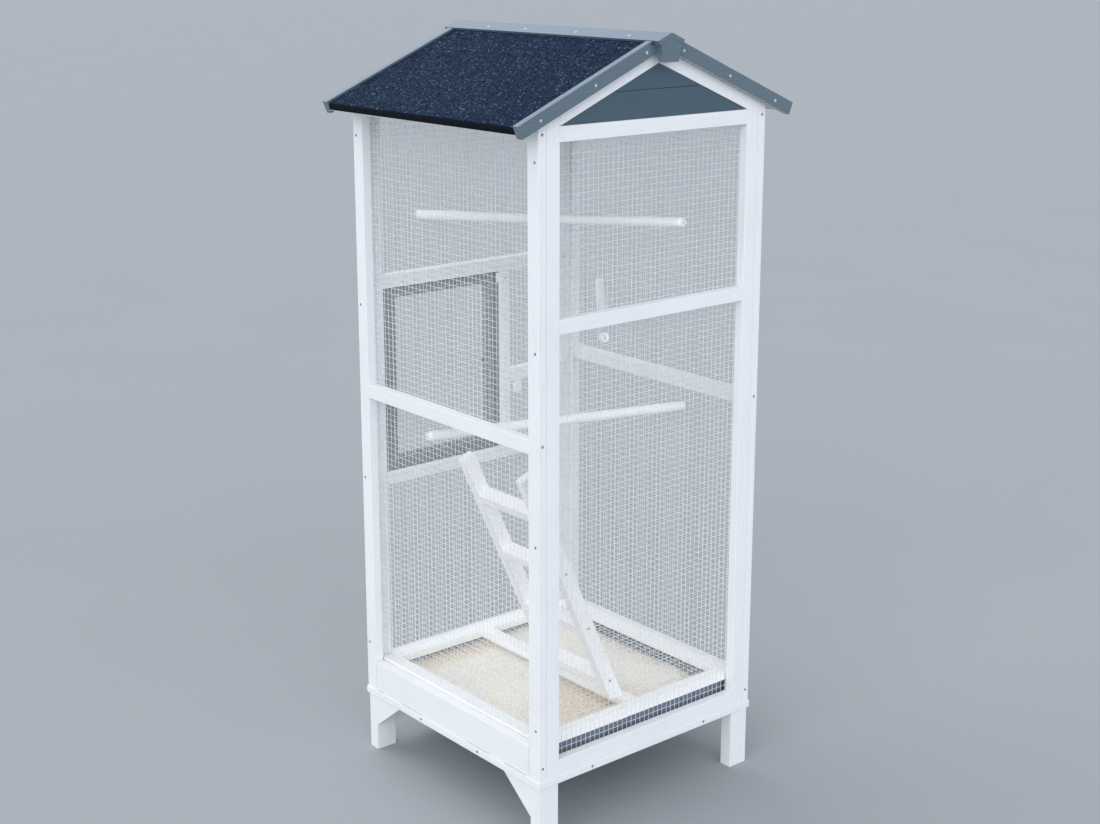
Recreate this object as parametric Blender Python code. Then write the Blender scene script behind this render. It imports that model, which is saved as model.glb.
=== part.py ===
"""An aviary on four short legs: four meshed timber panels with a door, a floor grid, a pull-out tray, a pitched roof,
perches and a ladder. Metres, +Z up. The front is -Y (door), the back is +Y (the photographed gable) and +X is the
tray's side. Sizes are written from the back right corner: U runs along Y towards the front, V along X to the left."""

import math

import bmesh
import bpy
from mathutils import Matrix, Vector

CM = 0.01
GAP = 0.03  # between two pieces that touch, cm

# body
LENGTH = 60.6  # along Y
WIDTH = 60.1  # along X
TIMBER = 2.0  # thickness of every panel board
STILE = 3.2
RAIL = 3.0
LEG_U, LEG_V, LEG_H = 2.8, 4.9, 13.25
INSET = 0.2  # the legs stand back this far under the ledge
LEDGE_T, LEDGE_OUT, LEDGE_IN = 1.6, 0.25, 4.9
BASE = LEG_H + LEDGE_T  # underside of the panels
GUSSET_ALONG, GUSSET_DOWN, GUSSET_T = 9.0, 7.2, 1.2
STRETCHER_T, STRETCHER_H = 1.6, 5.0
STRETCHER_DROP = 9.05
STRETCHER_Z = LEG_H - STRETCHER_DROP

# rails: from the base to a middle rail's lower edge, and how high the bottom boards are
SIDE_MID, BACK_MID = 67.95, 91.25
WALL = 131.98  # from the base to the roof boards, at the outer face of a side panel
TOP_RAIL, SIDE_TOP_DROP, END_TOP_DROP = 2.9, 0.5, 1.35
SIDE_BOARD, BACK_BOARD, FRONT_BOARD = 6.75, 3.35, 6.85
SIDE_TOP = (BASE + WALL - SIDE_TOP_DROP - TOP_RAIL, BASE + WALL - SIDE_TOP_DROP)
END_TOP = (BASE + WALL - END_TOP_DROP - TOP_RAIL - 0.05, BASE + WALL - END_TOP_DROP)
MESH_T = 0.2
MESH_PITCH, DOOR_PITCH, BAR = 10.16, 5.08, 0.3
MESH_BACK = TIMBER + 2 * GAP + MESH_T  # what touches the mesh from inside is this far in

# doorway and door
SILL_UP = 46.85  # from the base to the underside of the board below the door
DOOR_LOW = BASE + SILL_UP + RAIL
DOOR_H, DOOR_W = 41.1, 31.75
DOOR_HIGH = DOOR_LOW + DOOR_H
POST = TIMBER + STILE + DOOR_W  # the post's side towards the door
POST_WIDE = 3.05
STOP_LAP, STOP_H = 1.1, 2.2
DOOR_CLEAR = 0.2
DOOR_T = 1.6
DOOR_MEMBER, DOOR_TOP = 3.2, 2.1  # the frame's sides and foot, and its top
SHORT_RAIL_UP = 64.75  # from the base to the underside of the short rail beside the door
HINGE_V, HINGE_R, HINGE_H = TIMBER + STILE + 0.1, 0.33, 5.0
HINGE_U = LENGTH + 0.36
HINGE_END = 6.7  # from the doorway's ends to the middle of each hinge
BOLT_Z = DOOR_LOW + DOOR_H / 2
BOLT_R, BOLT_PLATE_H = 0.3, 2.2

# roof
PITCH = 0.425  # tangent
RIDGE_V = WIDTH / 2
DECK_T = 0.99
DECK_TOP = BASE + WALL + 0.05 + DECK_T + PITCH * RIDGE_V  # the two roof boards' upper faces meet here
CAP_RISE = 1.1
RIDGE_Z = DECK_TOP + CAP_RISE
EAVE = 5.5
BARGE_OUT, BARGE_T, BARGE_DEPTH, BARGE_TIP = 1.8, 1.6, 2.7, 6.2
CAP_WIDE, CAP_T, CAP_END = 3.75, 0.9, 3.45
PLUG_H = 5.55
PLUG_LOW = RIDGE_Z - PLUG_H
RAFTER_DEPTH = 3.4

# floor and tray
FLOOR_UP, FLOOR_T = 5.55, 1.7
FLOOR_LOW = BASE + FLOOR_UP
FLOOR_TOP = FLOOR_LOW + FLOOR_T
FLOOR_RAIL = 3.2
TRAY_H = 5.0
TRAY_WALL = 0.25
TRAY_BACK = 4.6  # from the left side's outer face to the tray's far end
TRAY_SIDE = 0.4  # between the tray and the stiles that it slides between

# each end: the wall that it meets, its place along that wall, its height above the base
DOWEL_R = 1.08
PERCHES = {
    "perch_low": (("right", 38.7, 63.15), ("left", 19.5, 64.05)),
    "perch_middle": (("back", 18.4, 88.35), ("left", 47.9, 87.45)),
    "perch_high": (("front", 14.5, 106.25), ("back", 39.2, 108.95)),
}
LADDER_U, LADDER_OUT, LADDER_H = 8.0, 20.8, 53.85
LADDER_FOOT = 2.02  # from the middle of the floor to the middle of its feet
LADDER_LEAN = (WIDTH / 2 - LADDER_FOOT - MESH_BACK - 0.454 * STILE) / LADDER_H  # sideways for each unit up
RUNGS, RUNG_FIRST, RUNG_STEP, RUNG_T = 4, 4.45, 13.45, 1.9

COS = 1 / math.hypot(1, PITCH)
SIN = PITCH * COS


def place(u, v, z):
    """Corner sizes in centimetres to the row frame in metres."""
    return Vector(((WIDTH / 2 - v) * CM, (LENGTH / 2 - u) * CM, z * CM))


def roof_line(apex, v):
    return apex - PITCH * abs(v - RIDGE_V)


def finish(name, bm):
    bmesh.ops.recalc_face_normals(bm, faces=bm.faces)
    mesh = bpy.data.meshes.new(name)
    bm.to_mesh(mesh)
    bm.free()
    obj = bpy.data.objects.new(name, mesh)
    bpy.context.scene.collection.objects.link(obj)
    return obj


def prism(name, corners, low, high):
    """A prism over a flat outline: corners(k) gives the outline's points at the end value k."""
    bm = bmesh.new()
    rings = [[bm.verts.new(p) for p in corners(k)] for k in (low, high)]
    bm.faces.new(rings[0])
    bm.faces.new(rings[1])
    n = len(rings[0])
    for i in range(n):
        j = (i + 1) % n
        bm.faces.new((rings[0][i], rings[0][j], rings[1][j], rings[1][i]))
    return finish(name, bm)


def box(name, u, v, z):
    return prism(name, lambda k: [place(a, b, k) for a, b in ((u[0], v[0]), (u[1], v[0]), (u[1], v[1]), (u[0], v[1]))], *z)


def across(name, outline, u):
    """An outline in (v, z) drawn along u."""
    return prism(name, lambda k: [place(k, v, z) for v, z in outline], *u)


def along(name, outline, v):
    """An outline in (u, z) drawn along v."""
    return prism(name, lambda k: [place(u, k, z) for u, z in outline], *v)


def sheet(name, first, second, filled, depth, at):
    """A flat piece with openings: two rows of cuts, the cells between them that hold material, and its two depths."""
    bm = bmesh.new()
    points = {}

    def point(i, j, k):
        if (i, j, k) not in points:
            points[i, j, k] = bm.verts.new(at(first[i], second[j], depth[k]))
        return points[i, j, k]

    def solid(i, j):
        return 0 <= i < len(first) - 1 and 0 <= j < len(second) - 1 and filled(i, j)

    for i in range(len(first) - 1):
        for j in range(len(second) - 1):
            if not solid(i, j):
                continue
            ring = ((i, j), (i + 1, j), (i + 1, j + 1), (i, j + 1))
            for k in (0, 1):
                bm.faces.new([point(a, b, k) for a, b in ring])
            for (a, b), (c, d), side in zip(ring, ring[1:] + ring[:1], ((i, j - 1), (i + 1, j), (i, j + 1), (i - 1, j))):
                if not solid(*side):
                    bm.faces.new((point(a, b, 0), point(c, d, 0), point(c, d, 1), point(a, b, 1)))
    bmesh.ops.dissolve_limit(bm, angle_limit=0.001, verts=bm.verts, edges=bm.edges)
    return finish(name, bm)


def lattice_cuts(low, high, through=(), pitch=MESH_PITCH):
    """The two edges of each bar: one at each end, one through each middle asked for, and the rest evenly between."""
    stops = [low, *sorted(x - BAR / 2 for x in through), high - BAR]
    starts = []
    for a, b in zip(stops, stops[1:]):
        count = max(1, round((b - a) / pitch))
        starts += [a + k * (b - a) / count for k in range(count)]
    return [x for start in [*starts, high - BAR] for x in (start, start + BAR)]


def combine(target, other, operation):
    modifier = target.modifiers.new("cut", "BOOLEAN")
    modifier.operation = operation
    modifier.solver = "EXACT"
    modifier.object = other
    bpy.context.view_layer.update()
    evaluated = target.evaluated_get(bpy.context.evaluated_depsgraph_get())
    mesh = bpy.data.meshes.new_from_object(evaluated)
    target.modifiers.clear()
    target.data = mesh
    bpy.data.objects.remove(other)
    return target


def rod(name, start, end, radius, sides=24):
    a, b = place(*start), place(*end)
    way = b - a
    turn = way.to_track_quat("Z", "Y").to_matrix().to_4x4()
    bm = bmesh.new()
    bmesh.ops.create_cone(
        bm, cap_ends=True, segments=sides, radius1=radius * CM, radius2=radius * CM, depth=way.length,
        matrix=Matrix.Translation((a + b) / 2) @ turn,
    )
    return finish(name, bm)


def base():
    for end, us in (("back", (INSET, INSET + LEG_U)), ("front", (LENGTH - INSET - LEG_U, LENGTH - INSET))):
        for side, vs in (("right", (INSET, INSET + LEG_V)), ("left", (WIDTH - INSET - LEG_V, WIDTH - INSET))):
            box(f"leg_{end}_{side}", us, vs, (0, LEG_H - GAP))
            inner, way = (us[1] + GAP, 1) if end == "back" else (us[0] - GAP, -1)
            outline = [(inner, LEG_H - GAP), (inner + way * GUSSET_ALONG, LEG_H - GAP), (inner, LEG_H - GUSSET_DOWN)]
            face = INSET if side == "right" else WIDTH - INSET - GUSSET_T
            along(f"gusset_{end}_{side}", outline, (face, face + GUSSET_T))
    inner = LENGTH - INSET - LEG_U + 0.4
    span = (INSET + LEG_V + GAP, WIDTH - INSET - LEG_V - GAP)
    box("stretcher_front", (inner, inner + STRETCHER_T), span, (STRETCHER_Z, STRETCHER_Z + STRETCHER_H))
    us = (-LEDGE_OUT, LEDGE_IN, LENGTH - LEDGE_IN, LENGTH + LEDGE_OUT)
    vs = (-LEDGE_OUT, LEDGE_IN, WIDTH - LEDGE_IN, WIDTH + LEDGE_OUT)
    sheet("ledge", us, vs, lambda i, j: (i, j) != (1, 1), (LEG_H, BASE - GAP), place)


def side_panels():
    """The two panels that run the full length and cover the corners."""
    for side, vs in (("right", (0, TIMBER)), ("left", (WIDTH - TIMBER, WIDTH))):
        under = DECK_TOP - DECK_T - 0.05
        lows = [roof_line(under, v) for v in vs]
        for end, us in (("back", (0, STILE)), ("front", (LENGTH - STILE, LENGTH))):
            across(f"stile_{side}_{end}", [(vs[0], BASE), (vs[1], BASE), (vs[1], lows[1]), (vs[0], lows[0])], us)
        inner = (STILE + GAP, LENGTH - STILE - GAP)
        box(f"rail_{side}_top", inner, vs, SIDE_TOP)
        box(f"rail_{side}_middle", inner, vs, (BASE + SIDE_MID, BASE + SIDE_MID + RAIL))
    box("board_left_bottom", (STILE + GAP, LENGTH - STILE - GAP), (WIDTH - TIMBER, WIDTH), (BASE, BASE + SIDE_BOARD))


def end_panels():
    """The two gable panels, which fit between the side panels."""
    edges = (TIMBER + GAP, TIMBER + STILE, WIDTH - TIMBER - STILE, WIDTH - TIMBER - GAP)
    under = DECK_TOP - DECK_T - 0.05
    inner = (edges[1] + GAP, edges[2] - GAP)
    for end, us in (("back", (0, TIMBER)), ("front", (LENGTH - TIMBER, LENGTH))):
        for side, vs in (("right", edges[:2]), ("left", edges[2:])):
            outline = [(vs[0], BASE), (vs[1], BASE), (vs[1], roof_line(under, vs[1])), (vs[0], roof_line(under, vs[0]))]
            across(f"stile_{end}_{side}", outline, us)
        box(f"rail_{end}_top", us, inner, END_TOP)
        # rafters, notched in between the stiles, and the grey siding under them
        line = under - RAFTER_DEPTH / COS
        feet = END_TOP[1] + GAP
        outline = [(inner[0], roof_line(under, inner[0])), (RIDGE_V, under), (inner[1], roof_line(under, inner[1]))]
        lower = [max(feet, roof_line(line, v)) for v in inner]
        outline += [(inner[1], lower[1]), (RIDGE_V, line), (inner[0], lower[0])]
        across(f"rafters_{end}", outline, us)
        low = feet
        reach = (line - 0.035 - low) / PITCH
        deep = (us[0] + 0.25, us[0] + 1.45) if end == "back" else (us[1] - 1.45, us[1] - 0.25)
        across(f"siding_{end}", [(RIDGE_V - reach, low), (RIDGE_V + reach, low), (RIDGE_V, line - 0.035)], deep)
    box("rail_back_bottom", (0, TIMBER), inner, (BASE, BASE + BACK_BOARD))
    box("rail_back_middle", (0, TIMBER), inner, (BASE + BACK_MID, BASE + BACK_MID + RAIL - 0.1))
    front = (LENGTH - TIMBER, LENGTH)
    box("rail_front_bottom", front, inner, (BASE, BASE + FRONT_BOARD))
    box("rail_door_sill", front, inner, (DOOR_LOW - RAIL, DOOR_LOW))
    box("rail_door_head", front, inner, (DOOR_HIGH, DOOR_HIGH + RAIL))
    post = box("door_post", front, (POST, POST + POST_WIDE), (DOOR_LOW + GAP, DOOR_HIGH - GAP))
    # a small stop for the door, on the inside of the post's upper end
    low, high = DOOR_HIGH - 0.2 - STOP_H, DOOR_HIGH - 0.2
    stop = box("stop", (front[0] - 0.65, front[0] - 0.05), (POST - STOP_LAP, POST + 0.8), (low, high))
    combine(post, stop, "UNION")
    foot = box("foot", (front[0] - 0.6, front[0] + 0.2), (POST + 0.1, POST + 0.75), (low + 0.05, high - 0.05))
    combine(post, foot, "UNION")
    short = (BASE + SHORT_RAIL_UP, BASE + SHORT_RAIL_UP + RAIL)
    combine(post, box("short_rail", front, (POST + POST_WIDE - 0.5, inner[1]), short), "UNION")


def bars(i, j):
    """Every other row and column of cuts is a bar."""
    return i % 2 == 0 or j % 2 == 0


def wall_meshes():
    """Coarse stand-ins for the welded mesh that is stapled inside each panel. A bar runs behind each perch's end."""
    low, high = BASE + 0.5, END_TOP[1] - 0.65
    near = (TIMBER + GAP, TIMBER + GAP + MESH_T)
    far_v = (WIDTH - near[1], WIDTH - near[0])
    far_u = (LENGTH - near[1], LENGTH - near[0])
    edge = TIMBER + 0.6
    behind = {wall: [] for wall in ("right", "left", "back", "front")}
    for ends in PERCHES.values():
        for wall, _, z in ends:
            behind[wall].append(BASE + z)
    # the tray passes under the right mesh
    for wall, depth, start in (("right", near, FLOOR_TOP + 0.3), ("left", far_v, low)):
        cuts = lattice_cuts(edge, LENGTH - edge), lattice_cuts(start, high, behind[wall])
        sheet(f"mesh_{wall}", *cuts, bars, depth, lambda a, b, c: place(a, c, b))
    cuts = lattice_cuts(edge, WIDTH - edge), lattice_cuts(low, high, behind["back"])
    sheet("mesh_back", *cuts, bars, near, lambda a, b, c: place(c, a, b))
    # the front one leaves out the doorway
    way_v = (TIMBER + STILE - 0.3, POST + 0.9)
    way_z = (DOOR_LOW - 0.6, DOOR_HIGH + 0.6)
    vs = lattice_cuts(edge, way_v[0]) + lattice_cuts(way_v[0] - BAR, way_v[1] + BAR)[2:-2]
    vs += lattice_cuts(way_v[1], WIDTH - edge)
    zs = lattice_cuts(low, way_z[0]) + lattice_cuts(way_z[0] - BAR, way_z[1] + BAR)[2:-2]
    zs += lattice_cuts(way_z[1], high, behind["front"])

    def filled(i, j):
        v, z = (vs[i] + vs[i + 1]) / 2, (zs[j] + zs[j + 1]) / 2
        return bars(i, j) and not (way_v[0] < v < way_v[1] and way_z[0] < z < way_z[1])

    sheet("mesh_front", vs, zs, filled, far_u, lambda a, b, c: place(c, a, b))


def door():
    v = (TIMBER + STILE + DOOR_CLEAR, POST - DOOR_CLEAR)
    z = (DOOR_LOW + DOOR_CLEAR, DOOR_HIGH - DOOR_CLEAR)
    u = (LENGTH - DOOR_T - 0.05, LENGTH - 0.05)
    m = DOOR_MEMBER
    cuts = (v[0], v[0] + m, v[1] - m, v[1]), (z[0], z[0] + m, z[1] - DOOR_TOP, z[1])
    sheet("door_frame", *cuts, lambda i, j: (i, j) != (1, 1), u, lambda a, b, c: place(c, a, b))
    lap = 1.0  # of the mesh over the frame
    cuts = [lattice_cuts(a[0] + m - lap, a[1] - top + lap, (), DOOR_PITCH) for a, top in ((v, m), (z, DOOR_TOP))]
    sheet("door_mesh", *cuts, bars, (u[0] - GAP - MESH_T, u[0] - GAP), lambda a, b, c: place(c, a, b))
    for level, centre in (("low", DOOR_LOW + HINGE_END), ("high", DOOR_HIGH - HINGE_END)):
        hinge(level, centre, u[1])
    bolt(v[1], u[1])


def hinge(level, centre, door_face):
    """Two leaves with their knuckles round one upright pin line."""
    low, high = centre - HINGE_H / 2, centre + HINGE_H / 2
    third = HINGE_H / 3
    fixed = box(f"hinge_{level}_fixed", (LENGTH + GAP, LENGTH + GAP + 0.14), (HINGE_V - 2.4, HINGE_V - 0.1), (low, high))
    for k in (0, 2):
        knuckle = rod("knuckle", (HINGE_U, HINGE_V, low + k * third), (HINGE_U, HINGE_V, low + (k + 1) * third), HINGE_R, 20)
        combine(fixed, knuckle, "UNION")
    slot = box("slot", (LENGTH - 1, LENGTH + 1), (HINGE_V - 0.42, HINGE_V + 1), (low + third - 0.03, low + 2 * third + 0.03))
    combine(fixed, slot, "DIFFERENCE")
    moving = box(
        f"hinge_{level}_moving", (door_face + GAP, LENGTH + GAP + 0.14), (HINGE_V + 0.1, HINGE_V + 2.4), (low, high)
    )
    for zs in ((low - 1, low + third + 0.03), (low + 2 * third - 0.03, high + 1)):
        relief = box("relief", (LENGTH - 1, LENGTH + 1), (HINGE_V - 1, HINGE_V + 0.42), zs)
        combine(moving, relief, "DIFFERENCE")
    knuckle = rod("knuckle", (HINGE_U, HINGE_V, low + third + 0.03), (HINGE_U, HINGE_V, low + 2 * third - 0.03), HINGE_R, 20)
    combine(moving, knuckle, "UNION")


def bolt(edge, face):
    """A small slide bolt, drawn back at rest: its plate on the door, its keeper on the post."""
    centre = face + 0.62
    low, high = BOLT_Z - BOLT_PLATE_H / 2, BOLT_Z + BOLT_PLATE_H / 2
    plate = box("bolt_plate", (face + GAP, face + 0.18), (edge - DOOR_MEMBER + 0.1, edge - 0.15), (low, high))
    for v in (edge - DOOR_MEMBER + 0.2, edge - 0.75):
        guide = box("guide", (face + 0.1, centre + 0.48), (v, v + 0.5), (BOLT_Z - 0.55, BOLT_Z + 0.55))
        combine(plate, guide, "UNION")
    bore = rod("bore", (centre, edge - 8, BOLT_Z), (centre, edge + 2, BOLT_Z), BOLT_R + 0.05)
    combine(plate, bore, "DIFFERENCE")
    body = rod("bolt", (centre, edge - DOOR_MEMBER - 0.1, BOLT_Z), (centre, edge - 0.05, BOLT_Z), BOLT_R)
    knob_v = edge - DOOR_MEMBER + 1.05
    knob = rod("knob", (centre, knob_v, BOLT_Z), (centre + 1.3, knob_v, BOLT_Z), 0.2, 16)
    combine(body, knob, "UNION")
    keeper = box("bolt_keeper", (LENGTH + GAP, LENGTH + 0.13), (POST + 0.05, POST + 1.3), (low, high))
    loop = box("loop", (LENGTH + 0.08, centre + 0.48), (POST + 0.25, POST + 0.75), (BOLT_Z - 0.6, BOLT_Z + 0.6))
    combine(keeper, loop, "UNION")
    bore = rod("bore", (centre, edge, BOLT_Z), (centre, edge + 4, BOLT_Z), BOLT_R + 0.08)
    combine(keeper, bore, "DIFFERENCE")


def floor():
    u = (TIMBER + 0.3, TIMBER + 0.3 + FLOOR_RAIL, LENGTH - TIMBER - 0.3 - FLOOR_RAIL, LENGTH - TIMBER - 0.3)
    middle = (WIDTH / 2 - FLOOR_RAIL / 2, WIDTH / 2 + FLOOR_RAIL / 2)
    v = (TIMBER + 0.3, TIMBER + 0.3 + FLOOR_RAIL, *middle, WIDTH - TIMBER - 0.3 - FLOOR_RAIL, WIDTH - TIMBER - 0.3)
    frame = sheet("floor_grid", u, v, lambda i, j: i != 1 or j in (0, 2, 4), (FLOOR_LOW, FLOOR_TOP), place)
    cuts = lattice_cuts(u[1] - 0.6, u[2] + 0.6), lattice_cuts(v[1] - 0.6, v[4] + 0.6)
    net = sheet("net", *cuts, bars, (FLOOR_LOW - 0.1, FLOOR_LOW + 0.15), place)
    combine(frame, net, "UNION")


def tray():
    u = (STILE + TRAY_SIDE, LENGTH - STILE - TRAY_SIDE)
    v = (TIMBER + GAP, WIDTH - TRAY_BACK)
    body = box("tray", u, v, (BASE, BASE + TRAY_H))
    w = TRAY_WALL
    hollow = box("hollow", (u[0] + w, u[1] - w), (v[0] + w, v[1] - w), (BASE + w, BASE + TRAY_H + 1))
    combine(body, hollow, "DIFFERENCE")
    box("tray_front", (STILE + 0.15, LENGTH - STILE - 0.15), (0, TIMBER), (BASE + GAP, BASE + SIDE_BOARD))


def roof():
    split = 0.02
    for side, way in (("right", -1), ("left", 1)):
        ridge, eave = RIDGE_V + way * split, RIDGE_V + way * (RIDGE_V + EAVE)
        top = [(v, roof_line(DECK_TOP, v)) for v in (ridge, eave)]
        outline = top + [(v, z - DECK_T) for v, z in reversed(top)]
        inner = -BARGE_OUT + BARGE_T + GAP
        across(f"roof_{side}", outline, (inner, LENGTH - inner))
    tip = RIDGE_V + BARGE_TIP
    notch = CAP_WIDE * COS + 0.2
    drop = CAP_T / COS + 0.04
    half = [(tip, RIDGE_Z - PITCH * tip), (notch, RIDGE_Z - PITCH * notch), (notch, RIDGE_Z - PITCH * notch - drop)]
    low = (tip - BARGE_DEPTH * SIN, RIDGE_Z - PITCH * tip - BARGE_DEPTH * COS)
    outline = [(RIDGE_V - a, z) for a, z in half] + [(RIDGE_V, RIDGE_Z - drop)]
    outline += [(RIDGE_V + a, z) for a, z in reversed(half)]
    outline += [(RIDGE_V + low[0], low[1]), (RIDGE_V, RIDGE_Z - BARGE_DEPTH / COS), (RIDGE_V - low[0], low[1])]
    for end, us in (("back", (-BARGE_OUT, -BARGE_OUT + BARGE_T)), ("front", (LENGTH + BARGE_OUT - BARGE_T, LENGTH + BARGE_OUT))):
        across(f"barge_{end}", outline, us)
    wide = CAP_WIDE * COS
    lower = (wide - CAP_T * SIN, RIDGE_Z - PITCH * wide - CAP_T * COS)
    outline = [(RIDGE_V, RIDGE_Z), (RIDGE_V + wide, RIDGE_Z - PITCH * wide), (RIDGE_V + lower[0], lower[1])]
    outline += [(RIDGE_V, RIDGE_Z - CAP_T / COS), (RIDGE_V - lower[0], lower[1]), (RIDGE_V - wide, RIDGE_Z - PITCH * wide)]
    cap = across("ridge_cap", outline, (-CAP_END, LENGTH + CAP_END))
    side = RIDGE_Z - 0.5 - PITCH * 2.9
    plug = [(RIDGE_V, RIDGE_Z - 0.5), (RIDGE_V + 2.9, side), (RIDGE_V + 1.9, PLUG_LOW)]
    plug += [(RIDGE_V - 1.9, PLUG_LOW), (RIDGE_V - 2.9, side)]
    for us in ((-CAP_END + 0.05, -BARGE_OUT - GAP), (LENGTH + BARGE_OUT + GAP, LENGTH + CAP_END - 0.05)):
        combine(cap, across("plug", plug, us), "UNION")


def perches():
    """Dowels, each end cut flat against the mesh that it is screwed through."""
    seat = {"right": MESH_BACK, "left": WIDTH - MESH_BACK, "back": MESH_BACK, "front": LENGTH - MESH_BACK}

    def centre(wall, far, z):
        return place(seat[wall], far, BASE + z) if wall in ("back", "front") else place(far, seat[wall], BASE + z)

    for name, ends in PERCHES.items():
        a, b = (centre(*end) for end in ends)
        way = (b - a).normalized()
        side = way.cross(Vector((0, 0, 1))).normalized()
        rise = side.cross(way)
        bm = bmesh.new()
        rings = []
        for (wall, _, _), middle in zip(ends, (a, b)):
            normal = Vector((0, 1, 0)) if wall in ("back", "front") else Vector((1, 0, 0))
            ring = []
            for i in range(24):
                turn = 2 * math.pi * i / 24
                off = (side * math.cos(turn) + rise * math.sin(turn)) * DOWEL_R * CM
                ring.append(bm.verts.new(middle + off - way * (off.dot(normal) / way.dot(normal))))
            rings.append(ring)
            bm.faces.new(ring)
        for i in range(24):
            j = (i + 1) % 24
            bm.faces.new((rings[0][i], rings[0][j], rings[1][j], rings[1][i]))
        finish(name, bm)


def ladder():
    """Two rails and their rungs of the same stock, leaning on the right side's mesh, its feet cut level."""
    c, sn = 1 / math.hypot(1, LADDER_LEAN), LADDER_LEAN / math.hypot(1, LADDER_LEAN)
    half, foot = STILE / 2, FLOOR_TOP + 0.05
    top = foot + LADDER_H

    def centre(z):
        return MESH_BACK + half * c + (top - z) * LADDER_LEAN

    end, out, wide = Vector((centre(top), top)), Vector((c, sn)) * half, half / c
    outline = [(centre(foot) - wide, foot), (centre(foot) + wide, foot), tuple(end + out), tuple(end - out)]
    body = across("ladder", outline, (LADDER_U, LADDER_U + TIMBER))
    for k in range(RUNGS):
        z = foot + RUNG_FIRST + k * RUNG_STEP
        middle = Vector((centre(z), z))
        up, face = Vector((-sn, c)) * (RUNG_T / 2), Vector((c, sn)) * (half - 0.05)
        section = [tuple(middle + i * up + j * face) for i, j in ((-1, -1), (-1, 1), (1, 1), (1, -1))]
        combine(body, across("rung", section, (LADDER_U + 0.5, LADDER_U + LADDER_OUT - 0.5)), "UNION")
    combine(body, across("rail", outline, (LADDER_U + LADDER_OUT - TIMBER, LADDER_U + LADDER_OUT)), "UNION")


for old in list(bpy.data.objects):
    bpy.data.objects.remove(old)
base()
side_panels()
end_panels()
wall_meshes()
door()
floor()
tray()
roof()
perches()
ladder()
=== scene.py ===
import math

import bmesh
import bpy
import numpy as np
from mathutils import Matrix, Vector, noise


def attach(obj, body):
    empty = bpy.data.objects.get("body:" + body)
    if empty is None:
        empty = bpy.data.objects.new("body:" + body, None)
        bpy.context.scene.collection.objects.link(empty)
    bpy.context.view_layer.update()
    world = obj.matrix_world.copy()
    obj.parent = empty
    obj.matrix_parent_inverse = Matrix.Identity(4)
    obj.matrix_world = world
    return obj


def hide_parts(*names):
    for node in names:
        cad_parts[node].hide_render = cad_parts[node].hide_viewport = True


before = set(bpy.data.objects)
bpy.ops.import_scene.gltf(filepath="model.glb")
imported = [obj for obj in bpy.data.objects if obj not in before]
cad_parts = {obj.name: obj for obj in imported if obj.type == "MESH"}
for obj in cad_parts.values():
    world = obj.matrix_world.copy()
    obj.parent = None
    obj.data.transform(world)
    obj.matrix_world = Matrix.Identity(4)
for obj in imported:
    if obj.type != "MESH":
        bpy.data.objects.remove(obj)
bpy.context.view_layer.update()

# Places are written in centimetres from the back right corner: u runs along Y towards the door gable, v along
# X towards the left, z up. place() turns them into the frame's metres. Wire, fixings, the dowels' girth, the
# softened edges and the materials are in metres.
LENGTH, WIDTH = 60.6, 60.1
TIMBER, STILE = 2.0, 3.2  # the thickness of the panels' boards, and the width of their uprights
BASE, WALL = 14.85, 131.98  # the panels' underside, and from there up to the roof boards at the outer faces
FLOOR_LOW, FLOOR_TOP = 20.4, 22.1
DOOR_LOW, DOOR_HIGH = 64.7, 105.8
HINGES, BOLT_Z = (DOOR_LOW + 6.7, DOOR_HIGH - 6.7), (DOOR_LOW + DOOR_HIGH) / 2
PITCH, RIDGE_V = 0.425, 30.05  # the roof's slope as a tangent, and the ridge's place
COS = 1 / math.hypot(1, PITCH)
DECK_T, DECK_GAP = 0.99, 0.05  # the roof boards' thickness, and the gap under them
DECK_APEX = BASE + WALL + DECK_GAP + DECK_T + PITCH * RIDGE_V
RIDGE_Z = DECK_APEX + 1.1
RAFTER_DEPTH = 3.4
EAVE = 35.5  # from the ridge to the roof board's lower edge
HEM_Z = (DECK_APEX - PITCH * EAVE) / 100 + 0.0044  # where the felt turns down, in metres
MESH_AT = TIMBER + 0.03  # from a panel's outer face to the mesh stapled inside it
WIRE, MESH_STEP = 0.001, 0.0127
X, Y, Z = Vector((1, 0, 0)), Vector((0, 1, 0)), Vector((0, 0, 1))


def place(u, v, z):
    return Vector(((WIDTH / 2 - v) / 100, (LENGTH / 2 - u) / 100, z / 100))


# Materials


def srgb(code):
    """A hex colour as the linear colour that the shader sockets take."""
    parts = [int(code[i : i + 2], 16) / 255 for i in (1, 3, 5)]
    return (*(c / 12.92 if c <= 0.04045 else ((c + 0.055) / 1.055) ** 2.4 for c in parts), 1.0)


def add(tree, kind, inputs=None, **settings):
    """Adds one node with its settings; each input is a number typed in or a socket wired in."""
    node = tree.nodes.new(kind)
    for name, value in settings.items():
        setattr(node, name, value)
    for name, value in (inputs or {}).items():
        if isinstance(value, bpy.types.NodeSocket):
            tree.links.new(value, node.inputs[name])
        else:
            node.inputs[name].default_value = value
    return node


def start(name, **constants):
    """A material with its shader, the constants on the shader's own sockets, and the Object coordinates."""
    made = bpy.data.materials.new(name)
    made.use_nodes = True
    tree = made.node_tree
    tree.nodes.clear()
    shader = add(tree, "ShaderNodeBsdfPrincipled", {k.replace("_", " "): v for k, v in constants.items()})
    add(tree, "ShaderNodeOutputMaterial", {"Surface": shader.outputs[0]})
    return made, tree, shader, add(tree, "ShaderNodeTexCoord").outputs["Object"]


def wire_up(tree, shader, colour, roughness, bump):
    """Gives the shader its colour, its gloss and its relief."""
    for name, node, output in (("Base Color", colour, 2), ("Roughness", roughness, 0), ("Normal", bump, 0)):
        tree.links.new(node.outputs[output], shader.inputs[name])


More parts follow.
